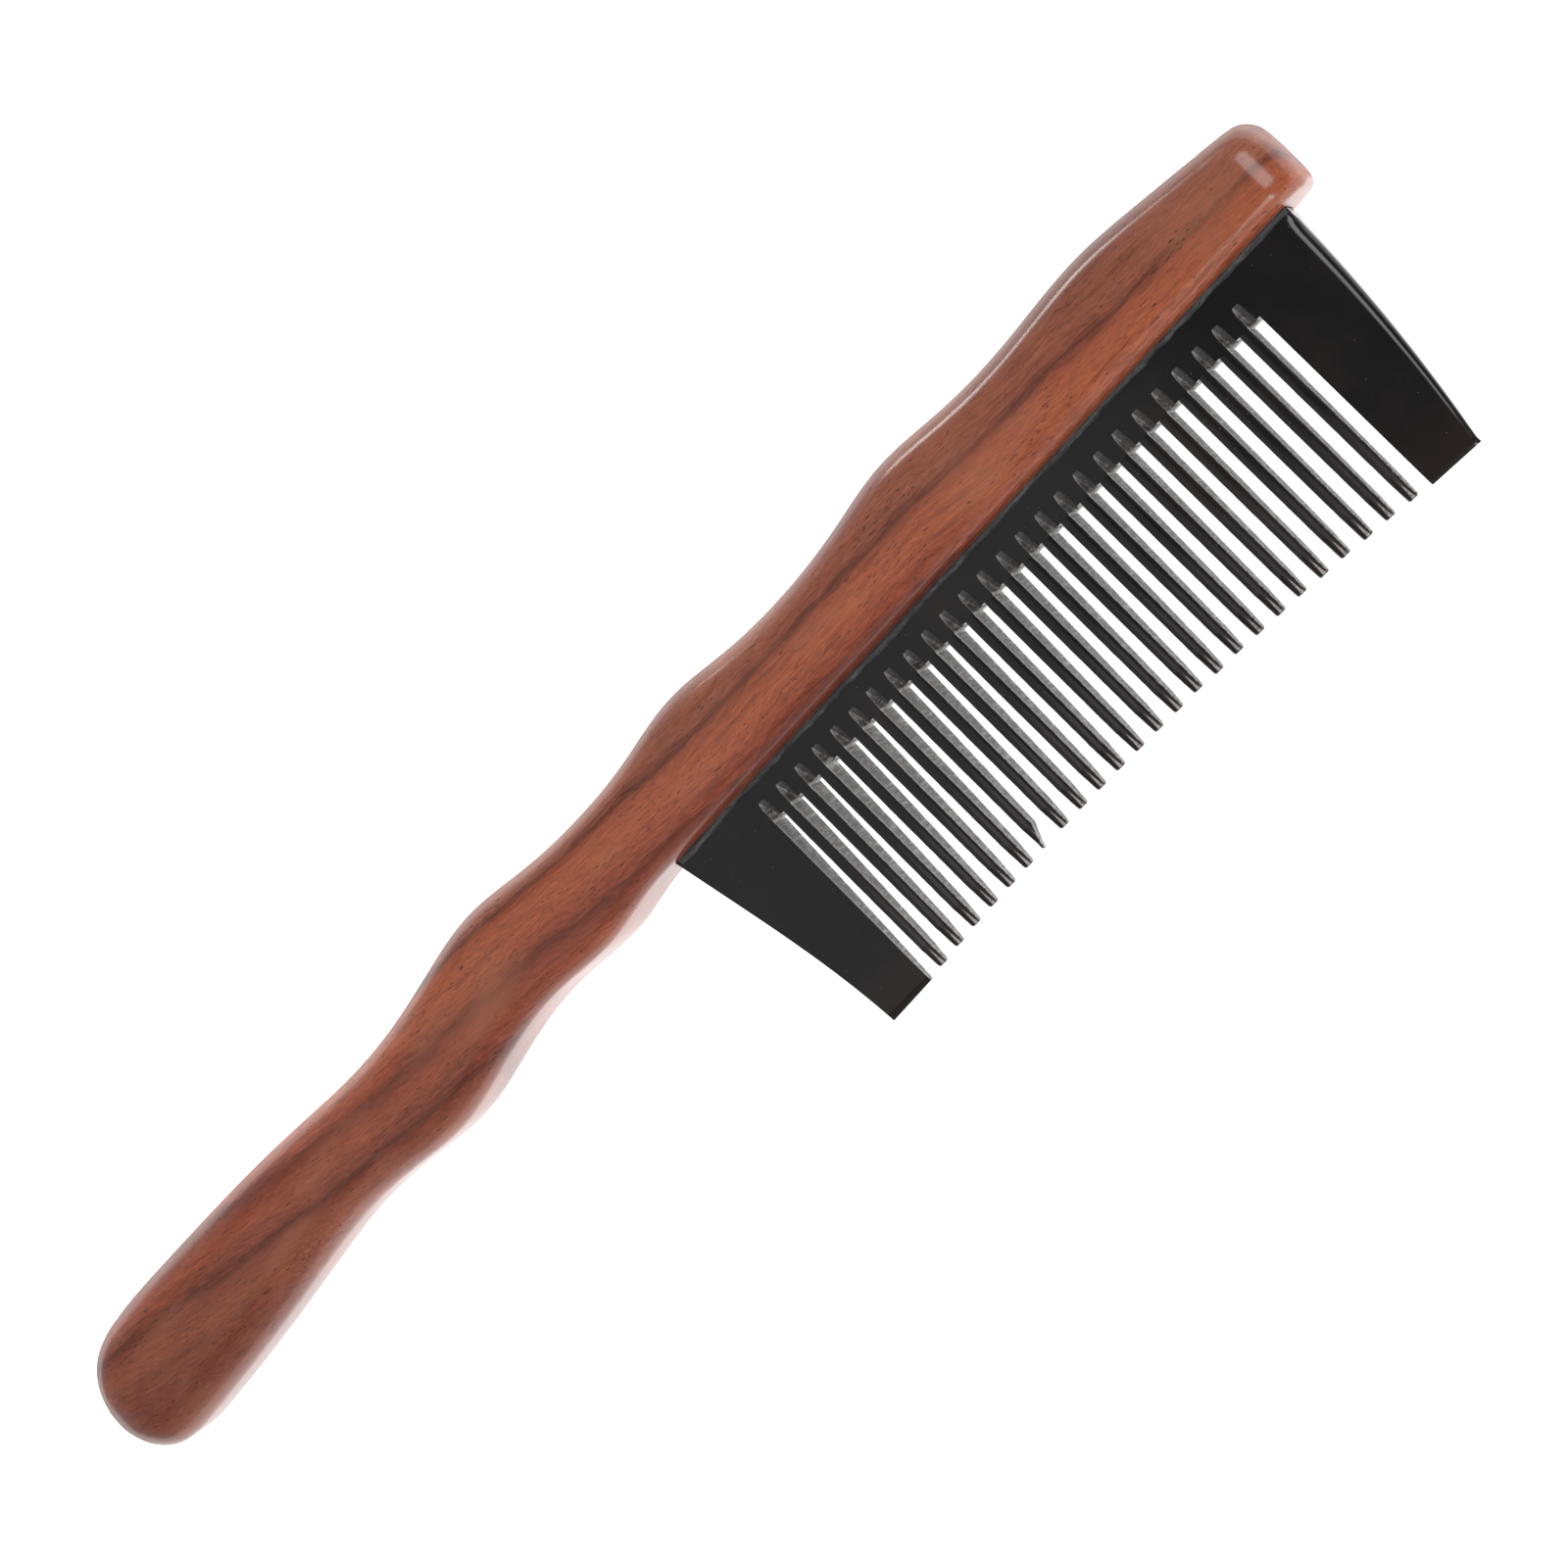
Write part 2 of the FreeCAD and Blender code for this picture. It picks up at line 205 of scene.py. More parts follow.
def handle_ring(y0, y1, half, upper, lower, crown):
    """A crowned rounded rectangle between y0 and y1, as (y, z) points."""
    middle, reach = (y0 + y1) / 2, (y1 - y0) / 2
    radii = {1: min(upper, 0.85 * reach), -1: min(lower, 0.85 * reach)}
    ring = []
    for quarter, (cy, cz) in enumerate(((1, 1), (-1, 1), (-1, -1), (1, -1))):
        ry = radii[cy]
        rz = min(ry, 0.97 * half)
        for step in range(CORNER_POINTS):
            angle = math.pi / 2 * (quarter + step / (CORNER_POINTS - 1))
            y = cy * (reach - ry) + ry * math.cos(angle)
            z = cz * (half - rz) + rz * math.sin(angle)
            ring.append((middle + y, z))
        if quarter in (0, 2):
            start, end = cy * (reach - ry), -cy * (reach - radii[-cy])
            for step in range(1, FACE_STEPS):
                ring.append((middle + start + (end - start) * step / FACE_STEPS, cz * half))
    crowned = []
    for y, z in ring:
        drop = math.copysign(crown * ((y - middle) / reach) ** 2, z)
        crowned.append((y, z - drop * abs(z) / half))
    return crowned


def cap_handle_end(mesh, ring, x, flip):
    """Close an end of the handle with a band and a flat face inside it."""
    around = len(ring)
    centre = sum((v.co for v in ring), Vector()) / around
    inner_ring = []
    for v in ring:
        spot = centre.lerp(v.co, END_CAP_SHARE)
        inner_ring.append(mesh.verts.new((x, spot.y, spot.z)))
    for k in range(around):
        n = (k + 1) % around
        corners = (ring[k], ring[n], inner_ring[n], inner_ring[k])
        mesh.faces.new(corners if flip else corners[::-1])
    mesh.faces.new(inner_ring if flip else inner_ring[::-1])


def make_handle():
    """The carved handle, lofted through rounded sections, with its groove."""
    lines = section_lines("wood_handle", middle_z + OUTLINE_HEIGHT)
    stations = handle_stations()
    xs = np.array([x for x, _ in stations])
    low, high = np.array([edges_at(lines, x) for x in xs]).T
    inner = (xs > handle_low.x + EASED_FROM_BUTT) & (xs < handle_high.x - EASED_FROM_HEAD)
    behind = xs < slab_low.x - CLEAR_OF_SLAB
    high = np.where(inner, eased(high, xs, SPINE_EASING), high)
    low = np.where(inner & behind, eased(low, xs, GRIP_EASING), low)
    high = head_corner(xs, high, 1, SPINE_CORNER)
    low = head_corner(xs, low, -1, JOINT_CORNER)
    mesh = bmesh.new()
    rings = []
    for (x, drawn_in), y0, y1 in zip(stations, low, high):
        grip = min(max((-x - GRIP_START) / GRIP_LENGTH, 0.0), 1.0)
        upper, lower, crown = (
            (at_head + more * grip) * MM for at_head, more in (SPINE_EDGE, LOWER_EDGE, CROWN)
        )
        half = max(half_thick - drawn_in, THINNEST_END)
        ring = handle_ring(y0, y1, half, upper, lower, crown)
        rings.append([mesh.verts.new((x, y, middle_z + z)) for y, z in ring])
    bridge(mesh, rings)
    cap_handle_end(mesh, rings[0], handle_low.x, False)
    cap_handle_end(mesh, rings[-1], handle_high.x, True)
    bmesh.ops.recalc_face_normals(mesh, faces=mesh.faces)
    piece = new_object("carved_handle", mesh)
    cut_groove(piece)
    smooth(piece.data)
    return piece


def cut_groove(piece):
    """Saw the groove for the slab's tongue into the joint edge."""
    mesh = bmesh.new()
    corners = []
    for x in (glue_low.x, glue_high.x):
        for y in (joint_y(x) - GROOVE_OVERCUT, joint_y(x) + GROOVE_DEPTH):
            for z in (middle_z - GROOVE_WIDTH / 2, middle_z + GROOVE_WIDTH / 2):
                corners.append(mesh.verts.new((x, y, z)))
    faces = (
        (0, 1, 3, 2), (4, 6, 7, 5), (0, 4, 5, 1), (2, 3, 7, 6), (0, 2, 6, 4), (1, 5, 7, 3),
    )
    for face in faces:
        mesh.faces.new([corners[i] for i in face])
    bmesh.ops.recalc_face_normals(mesh, faces=mesh.faces)
    subtract(piece, new_object("groove_cutter", mesh))


# ------------------------------------------------------------------ horn slab

# The slab is drawn in millimetres about the middle of the row of tooth roots.
ROOTS_X, ROOTS_Y = 51.8, 3.1
ROOTS = Vector((ROOTS_X * MM, ROOTS_Y * MM, middle_z))
PITCH = 3.0
TEETH = 25
SLOT_WIDTH = 1.66
TAPER_START, FULL_HALF, TIP_HALF = 3.9, 2.25, 0.6
TIP_ARC_RADIUS, TIP_Y, GUARD_TIP_Y = 399.0, -22.75, -24.6
GRIND_LENGTH, GRIND_HALF, THINNEST_TIP = 3.0, 0.4, 0.06
GUARD_GRIND_HALF = 0.5
JOINT_HEIGHT, TONGUE_DEPTH = 5.3, 6.0

# Tooth edges: their radius, how it grows towards the tip, and how much it wanders.
TOOTH_EDGE, TOOTH_EDGE_GAIN, TIP_EDGE_GAIN, TOOTH_EDGE_WANDER = 0.09, 0.14, 0.07, 0.5
TIP_CORNER, TIP_NARROWING, TOOTH_LEAN, TOOTH_SWAY = 0.26, 0.02, 0.04, 0.015
RING_SPACING, ROOT_OVERLAP, ROOT_INSET = 0.36, 0.7, 0.03
# One tooth has lost a splinter from the right of its tip.
CHIPPED, CHIP_LENGTH, CHIP_WIDTH = 7, 2.7, 1.0

# The guards stand a little outside the frame's outline, and their ends slant.
REAR_OFFSET, HEAD_OFFSET = -0.3, 0.12
GUARD_DROP, GUARD_SLANT, GUARD_WIDTH, GUARD_OUTER_X = 0.4, 0.3, 6.3, 44.7
# The outer edges are rounded below the joint, and this share of the thickness stays upright.
ROUNDED_BELOW, UPRIGHT_SHARE, END_SHARE = 4.6, 0.42, 0.6
REAR_ROUNDING, HEAD_ROUNDING, HEAD_ROUNDING_LOSS, REAR_SQUEEZE = 0.7, 1.15, 0.5, 0.16
TOP_LEVEL, BOTTOM_LEVEL = 9.0, -24.3
RIM_BEVEL, RIM_ANGLE = 0.09 * MM, math.radians(50)

# The saw's rim that leaves the run-outs: its radius, its middle, and its arc in degrees.
SAW_RADIUS, SAW_Y, SAW_Z, SAW_SHIFT = 30.0, -20.6, 21.2, -0.2
SAW_FROM, SAW_SWEEP, SAW_STEPS = -62, 32, 24


def placed(x, y, z):
    return ROOTS + Vector((x, y, z)) * MM


def tip_y(x):
    """The arc on which the tooth tips lie."""
    return TIP_Y - TIP_ARC_RADIUS + math.sqrt(TIP_ARC_RADIUS**2 - x**2)


def half_slab(y):
    """Half the slab's thickness: even at the joint, tapering to the tips."""
    if y >= TAPER_START:
        return FULL_HALF
    share = (TAPER_START - y) / (TAPER_START - GUARD_TIP_Y)
    return FULL_HALF - (FULL_HALF - TIP_HALF) * share


def ground_half(y, tip):
    """Half thickness with the tips ground thinner and rounded off."""
    away = y - tip
    if away >= GRIND_LENGTH:
        return half_slab(y)
    if away < GRIND_HALF:
        half = math.sqrt(max(GRIND_HALF**2 - (GRIND_HALF - away) ** 2, 0.0))
    else:
        start = half_slab(tip + GRIND_LENGTH)
        share = (away - GRIND_HALF) / (GRIND_LENGTH - GRIND_HALF)
        half = GRIND_HALF + (start - GRIND_HALF) * share
    return max(half, THINNEST_TIP)


def guard_half(y):
    """Half thickness of a guard tooth, ground a little thinner at its end."""
    away = max(y - GUARD_TIP_Y, 0.0)
    if away >= GRIND_LENGTH:
        return half_slab(y)
    start = half_slab(GUARD_TIP_Y + GRIND_LENGTH)
    return GUARD_GRIND_HALF + (start - GUARD_GRIND_HALF) * away / GRIND_LENGTH


def rounded_ring(left, right, half, radii):
    """A rounded rectangle from left to right and -half to half, as (x, z) points."""
    ring = []
    for quarter, (cx, cz) in enumerate(((1, 1), (-1, 1), (-1, -1), (1, -1))):
        r = min(radii[quarter], 0.48 * (right - left), 0.95 * half)
        x0 = (right - r) if cx > 0 else (left + r)
        z0 = cz * (half - r)
        for step in range(4):
            angle = math.pi / 2 * (quarter + step / 3)
            ring.append((x0 + r * math.cos(angle), z0 + r * math.sin(angle)))
    return ring


def add_tooth(mesh, index):
    """One sawn tooth: slightly rounded edges that wander, and a ground, rounded tip."""
    middle = (index - (TEETH + 1) / 2) * PITCH
    half_width = (PITCH - SLOT_WIDTH) / 2
    tip = tip_y(middle) + 0.1 * noise.noise(Vector((index * 3.7, 0.4, 0.0)))
    length = -tip
    steps = [0.0, 0.02, 0.07, 0.15, 0.26, 0.42, 0.6, 0.85]
    while steps[-1] + RING_SPACING < length:
        steps.append(steps[-1] + RING_SPACING)
    steps += [length, length + ROOT_OVERLAP]
    rings = []
    for away in steps:
        y = tip + away
        near_tip = max(1 - away / 3.0, 0.0)
        narrow = half_width - TIP_NARROWING * near_tip
        if away < TIP_CORNER:
            narrow -= TIP_CORNER - math.sqrt(TIP_CORNER**2 - (TIP_CORNER - away) ** 2)
        left, right = middle - narrow, middle + narrow + TOOTH_LEAN
        if index == CHIPPED and away < CHIP_LENGTH:
            broken = CHIP_WIDTH * (1 - away / CHIP_LENGTH) ** 0.9
            right = max(min(right, middle + half_width - broken), left + 0.1)
        half = ground_half(y, tip)
        radius = TOOTH_EDGE + TOOTH_EDGE_GAIN * max(1 - away / 13.0, 0.0) + TIP_EDGE_GAIN * near_tip
        if away > length:
            left, right, half = left + ROOT_INSET, right - ROOT_INSET, half - ROOT_INSET
        radius = min(radius, 0.48 * (right - left), 0.95 * half)
        radii = []
        for quarter in range(4):
            wander = noise.noise(Vector((index * 5.1, y / 0.5, quarter * 2.3)))
            radii.append(radius * (1 + TOOTH_EDGE_WANDER * wander * (1 - near_tip)))
        sway = TOOTH_SWAY * noise.noise(Vector((index * 2.9, y / 1.4, 0.0)))
        ring = rounded_ring(left + sway, right + sway, half, radii)
        rings.append([mesh.verts.new(placed(x, y, z)) for x, z in ring])
    bridge(mesh, rings, flip=True)
    mesh.faces.new(rings[0][::-1])
    mesh.faces.new(rings[-1])


def outer_x(lines, y):
    """Where the slab's two outer edges are at one height, in its own millimetres."""
    swapped = lines[:, [1, 0, 3, 2]]
    low, high = edges_at(swapped, ROOTS.y + y * MM)
    return (low - ROOTS.x) / MM, (high - ROOTS.x) / MM


def slab_columns(lines, level):
    """Across the slab at one level: each x, its inset from the edge and the rounding there."""
    insets = [0.0, 0.03, 0.12, 0.26, 0.45, 0.68, 0.95, 1.25, 1.6]
    edge = TEETH / 2 * PITCH + SLOT_WIDTH / 2
    cells = TEETH + 1
    rear, head = outer_x(lines, level)
    rear, head = rear + REAR_OFFSET, head + HEAD_OFFSET
    reach = HEAD_ROUNDING - HEAD_ROUNDING_LOSS * min(max(-level / 24.0, 0.0), 1.0)
    columns = [(rear + inset * REAR_SQUEEZE, inset, REAR_ROUNDING) for inset in insets]
    columns += [(-edge + 2 * edge * i / cells, 9.0, 1.0) for i in range(cells + 1)]
    columns += [(head - inset, inset, reach) for inset in insets[::-1]]
    return columns, len(insets), len(insets) + cells


def skin_slab(mesh, rows, cells):
    """Faces on both sides of the slab's cells, and walls wherever the cells end."""
    for r, c in cells:
        corners = (rows[r][c], rows[r + 1][c], rows[r + 1][c + 1], rows[r][c + 1])
        mesh.faces.new([v[0] for v in corners])
        mesh.faces.new([v[1] for v in corners][::-1])
    for r, c in cells:
        sides = (
            ((r - 1, c), (r, c), (r, c + 1)), ((r + 1, c), (r + 1, c + 1), (r + 1, c)),
            ((r, c - 1), (r + 1, c), (r, c)), ((r, c + 1), (r, c + 1), (r + 1, c + 1)),
        )
        for neighbour, a, b in sides:
            if neighbour not in cells:
                (a0, a1), (b0, b1) = rows[a[0]][a[1]], rows[b[0]][b[1]]
                mesh.faces.new((a0, b0, b1, a1))
    for vertex in [v for v in mesh.verts if not v.link_faces]:
        mesh.verts.remove(vertex)
    bmesh.ops.recalc_face_normals(mesh, faces=mesh.faces)


def soften_rims(mesh):
    """A small bevel along the slab's sharp rims below the tongue."""
    rims = []
    for e in mesh.edges:
        mid = (e.verts[0].co + e.verts[1].co) / 2 - ROOTS
        on_rim = mid.y < 5 * MM and abs(mid.z) > 0.05 * MM
        if e.is_manifold and e.calc_face_angle() > RIM_ANGLE and on_rim:
            rims.append(e)
    bmesh.ops.bevel(
        mesh, geom=rims, offset=RIM_BEVEL, segments=2, profile=0.5, affect="EDGES",
        clamp_overlap=True,
    )


def make_slab_body():
    """The slab without its thin teeth: tongue, band over the roots, two guards."""
    lines = section_lines("horn_comb_slab", middle_z)
    levels = [9.5, 7.0, 5.0, 3.9, 2.8, 1.4, 0.0]
    levels += [-1.5 * i for i in range(1, 15)]
    levels += [-22.0, -22.8, -23.5, -24.0, -24.3]
    mesh = bmesh.new()
    rows = []
    for number, y in enumerate([None, *levels, None]):
        top, bottom = number == 0, number == len(levels) + 1
        level = TOP_LEVEL if top else (BOTTOM_LEVEL if bottom else y)
        columns, rear_end, head_end = slab_columns(lines, level)
        row = []
        for x, inset, width in columns:
            place_y = y
            if top:
                place_y = JOINT_HEIGHT + x * JOINT_SLOPE + TONGUE_DEPTH
            if bottom:
                slant = GUARD_SLANT * (GUARD_OUTER_X - abs(x)) / GUARD_WIDTH
                place_y = GUARD_TIP_Y - GUARD_DROP + slant
            half = guard_half(place_y) * (END_SHARE if bottom else 1.0)
            if place_y < ROUNDED_BELOW:
                share = min(inset / width, 1.0)
                rounding = math.sqrt(max(1 - (1 - share) ** 2, 0.0))
                half *= UPRIGHT_SHARE + (1 - UPRIGHT_SHARE) * rounding
            front = mesh.verts.new(placed(x, place_y, half))
            back = mesh.verts.new(placed(x, place_y, -half))
            row.append((front, back))
        rows.append(row)
    root_row = 1 + levels.index(0.0)
    cells = set()
    for r in range(len(rows) - 1):
        for c in range(len(rows[0]) - 1):
            if r < root_row or not rear_end <= c < head_end:
                cells.add((r, c))
    skin_slab(mesh, rows, cells)
    soften_rims(mesh)
    return new_object("horn_comb", mesh)


def make_cutters():
    """The saw's rim at each slot, which leaves the sloping run-outs above the roots."""
    rim = [(0.62, SAW_RADIUS - 0.7), (0.5, SAW_RADIUS - 0.2), (0.36, SAW_RADIUS)]
    profile = [(-0.62, SAW_RADIUS - 4.0), (0.62, SAW_RADIUS - 4.0), *rim]
    profile += [(-x, r) for x, r in rim[::-1]]
    mesh = bmesh.new()
    for slot in range(TEETH + 1):
        shift = 0.05 * noise.noise(Vector((slot * 1.9, 3.0, 0.0))) + SAW_SHIFT
        rise = 0.2 * noise.noise(Vector((slot * 2.3, 9.0, 0.0)))
        middle = (slot - TEETH / 2) * PITCH + shift
        rings = []
        for step in range(SAW_STEPS + 1):
            angle = math.radians(SAW_FROM + SAW_SWEEP * step / SAW_STEPS)
            ring = []
            for x, r in profile:
                y = SAW_Y + rise + r * math.cos(angle)
                z = SAW_Z + r * math.sin(angle)
                ring.append(mesh.verts.new(placed(middle + x, y, z)))
            rings.append(ring)
        bridge(mesh, rings)
        mesh.faces.new(rings[0])
        mesh.faces.new(rings[-1][::-1])
    bmesh.ops.recalc_face_normals(mesh, faces=mesh.faces)
    return new_object("saw_rims", mesh)


def make_slab():
    """The whole slab: its body with the run-outs sawn in, and then its teeth."""
    piece = make_slab_body()
    subtract(piece, make_cutters())
    mesh = bmesh.new()
    mesh.from_mesh(piece.data)
    for index in range(1, TEETH + 1):
        add_tooth(mesh, index)
    mesh.to_mesh(piece.data)
    mesh.free()
    smooth(piece.data, 32.0)
    weighted = piece.modifiers.new("even_faces", "WEIGHTED_NORMAL")
    weighted.keep_sharp = True
    apply_modifiers(piece)
    return piece


# ------------------------------------------------------------------ glue line

# The bead in millimetres: how far it hangs over the slab and how far it stands out.
BEAD_STATIONS = 420
BEAD_HANG, BEAD_OUT, BEAD_OUT_LIMIT, BEAD_TUCK = 0.6, 0.62, 0.7, 0.12
REAR_START, HEAD_END = 0.5 * MM, 0.1 * MM
REAR_FADE, HEAD_FADE = 3.0 * MM, 1.6 * MM


def wave(x, seed, size):
    """Smooth repeatable wander between -1 and 1."""
    return noise.noise(Vector((x / size, seed * 7.3, 1.7)))


def bead_profile(x, side, x0, x1):
    """The bead's section at one x: distances below its top line and out from the slab."""
    near_rear = math.exp(-(((x - x0) / REAR_FADE) ** 2))
    near_head = math.exp(-(((x1 - x) / HEAD_FADE) ** 2))
    hang = BEAD_HANG + 0.2 * wave(x, side, 7 * MM) + 0.2 * wave(x, side + 3, 1.8 * MM)
    hang = hang * MM + near_rear * 0.15 * MM
    out = BEAD_OUT + 0.1 * wave(x, side + 9, 4 * MM) + 0.12 * wave(x, side + 5, 1.1 * MM)
    out = out * MM - near_rear * 0.35 * MM - near_head * 0.1 * MM
    out = min(out, BEAD_OUT_LIMIT * MM)
    tuck = BEAD_TUCK * MM
    return [
        (0.0, -0.3 * MM), (0.0, out * 0.98), (-0.18 * MM - 0.1 * hang, out),
        (-0.45 * hang - tuck, out * 0.86), (-0.75 * hang - tuck, out * 0.5),
        (-0.93 * hang - tuck, out * 0.2), (-hang - tuck, 0.0), (-hang - tuck, -0.1 * MM),
    ]


def make_glue():
    """The glue squeezed out along both faces of the joint."""
    mesh = bmesh.new()
    x0, x1 = slab_low.x + REAR_START, slab_high.x - HEAD_END
    slab_face = (slab_high.z - slab_low.z) / 2
    for side in (1, -1):
        rings = []
        for i in range(BEAD_STATIONS + 1):
            x = x0 + (x1 - x0) * i / BEAD_STATIONS
            top = joint_y(x) + BEAD_TUCK * MM
            ring = []
            for dy, dz in bead_profile(x, side, x0, x1):
                ring.append(mesh.verts.new((x, top + dy, middle_z + side * (slab_face + dz))))
            rings.append(ring)
        bridge(mesh, rings)
        mesh.faces.new(rings[0])
        mesh.faces.new(rings[-1][::-1])
    bmesh.ops.recalc_face_normals(mesh, faces=mesh.faces)
    piece = new_object("glue_squeeze_out", mesh)
    smooth(piece.data, 60.0)
    return piece


# ------------------------------------------------------------------ materials


class Nodes:
    """A short way to write a material's node tree."""

    def __init__(self, name):
        self.material = bpy.data.materials.new(name)
        self.material.use_nodes = True
        self.tree = self.material.node_tree
        self.tree.nodes.clear()
        self.output = self.tree.nodes.new("ShaderNodeOutputMaterial")

    def add(self, kind, inputs=(), **settings):
        node = self.tree.nodes.new("ShaderNode" + kind)
        for key, value in settings.items():
            setattr(node, key, value)
        for key, value in dict(inputs).items():
            self.put(node.inputs[key], value)
        return node

    def put(self, socket, value):
        if isinstance(value, bpy.types.NodeSocket):
            self.tree.links.new(value, socket)
        else:
            socket.default_value = value

    def math(self, operation, a, b=0.0, c=0.0):
        return self.add("Math", {0: a, 1: b, 2: c}, operation=operation).outputs[0]

    def times(self, first, *others):
        """The product of two or more values."""
        product = first
        for other in others:
            product = self.math("MULTIPLY", product, other)
        return product

    def spread(self, where, sizes):
        """A texture place measured in features of the given sizes in millimetres."""
        scaled = [self.times(value, 1 / size) for value, size in zip(where, sizes)]
        return self.add("CombineXYZ", dict(zip("XYZ", scaled))).outputs[0]

    def noise(self, where, detail=2.0, roughness=0.5):
        inputs = {"Vector": where, "Scale": 1.0, "Detail": detail, "Roughness": roughness}
        return self.add("TexNoise", inputs).outputs["Fac"]

    def ramp(self, factor, stops):
        node = self.add("ValToRGB", {"Fac": factor})
        ramp = node.color_ramp
        while len(ramp.elements) > 1:
            ramp.elements.remove(ramp.elements[-1])
        ramp.elements[0].position, ramp.elements[0].color = stops[0][0], rgba(stops[0][1])
        for position, colour in stops[1:]:
            ramp.elements.new(position).color = rgba(colour)
        return node.outputs["Color"]

    def mask(self, value, none_at, full_at):
        """0 at one value and 1 at the other, smooth between and even beyond."""
        inputs = {"Value": value, "From Min": none_at, "From Max": full_at}
        return self.add("MapRange", inputs, interpolation_type="SMOOTHSTEP").outputs[0]

    def scaled(self, value, low, high, to_low, to_high):
        """A value between low and high carried over to another range."""
        inputs = {"Value": value, "From Min": low, "From Max": high}
        inputs.update({"To Min": to_low, "To Max": to_high})
        return self.add("MapRange", inputs).outputs[0]

    def mix(self, factor, a, b, blend="MIX"):
        node = self.add("Mix", data_type="RGBA", blend_type=blend)
        self.put(node.inputs[0], factor)
        self.put(node.inputs[6], a)
        self.put(node.inputs[7], b)
        return node.outputs[2]

    def finish(self, inputs):
        shader = self.add("BsdfPrincipled", inputs)
        self.tree.links.new(shader.outputs[0], self.output.inputs["Surface"])
        return self.material

    def bump(self, height, strength, distance):
        inputs = {"Strength": strength, "Distance": distance, "Height": height}
        return self.add("Bump", inputs).outputs[0]

    def normal(self):
        """The x, y and z of the object's own surface normal."""
        return self.add("SeparateXYZ", {0: self.add("TexCoord").outputs["Normal"]}).outputs

    def millimetres(self):
        """The surface point's x, y and z in millimetres."""
        inputs = {0: self.add("TexCoord").outputs["Object"], "Scale": 1000.0}
        scaled = self.add("VectorMath", inputs, operation="SCALE").outputs[0]
        return self.add("SeparateXYZ", {0: scaled}).outputs


def linear(channel):
    """A display value from 0 to 255 as scene-linear light."""
    v = channel / 255
    return v / 12.92 if v <= 0.04045 else ((v + 0.055) / 1.055) ** 2.4


def rgba(colour):
    return (*colour, 1.0) if len(colour) == 3 else colour


def tone(r, g, b, gain=(1.0, 1.0, 1.0)):
    """A colour given by its display values, as a base colour."""
    return (linear(r) * gain[0], linear(g) * gain[1], linear(b) * gain[2], 1.0)


# Makes up for the cool sheen that the lacquer lays over the wood.
WOOD_GAIN = (1.23, 0.88, 0.63)
# The wood's layers from its lower edge to its spine: level in millimetres, display tone.
FIGURE_LOW, FIGURE_HIGH = -9.0, 21.0
FIGURE = (
    (-8.0, (122, 71, 58)), (-4.5, (140, 86, 69)), (-1.8, (128, 74, 60)), (-0.9, (94, 50, 41)),
    (-0.2, (126, 72, 57)), (2.0, (148, 87, 68)), (3.7, (134, 75, 59)), (4.9, (104, 56, 46)),
    (5.9, (142, 80, 62)), (8.5, (164, 101, 76)), (11.0, (152, 91, 70)), (11.9, (96, 54, 45)),
    (12.7, (134, 84, 71)), (14.5, (144, 96, 84)), (17.0, (122, 79, 72)), (19.0, (104, 66, 59)),
)
# How fast the layers sink along the comb, how much faster in the grip, and from where.
LAYER_START, LAYER_FALL, GRIP_FALL, GRIP_FALL_FROM = -1.8, 0.03, 0.06, (6.0, -44.0)
LAYER_TILT = -0.22


def wood_layer(n, x, y, z):
    """Level across the wood's figure: layers sink away from the butt, fastest in the grip."""
    wander = n.noise(n.spread((x, y, z), (34, 16, 14)), 1.5)
    ripple = n.noise(n.spread((x, y, z), (9, 2.2, 3)), 2.0)
    layer = n.math("MULTIPLY_ADD", x, LAYER_FALL, n.math("ADD", y, LAYER_START))
    for bend in GRIP_FALL_FROM:
        behind = n.math("MINIMUM", n.math("ADD", x, -bend), 0.0)
        layer = n.math("ADD", layer, n.times(behind, GRIP_FALL))
    layer = n.math("ADD", layer, n.times(z, LAYER_TILT))
    layer = n.math("MULTIPLY_ADD", n.math("SUBTRACT", wander, 0.5), 3.0, layer)
    return n.math("MULTIPLY_ADD", n.math("SUBTRACT", ripple, 0.5), 1.5, layer)


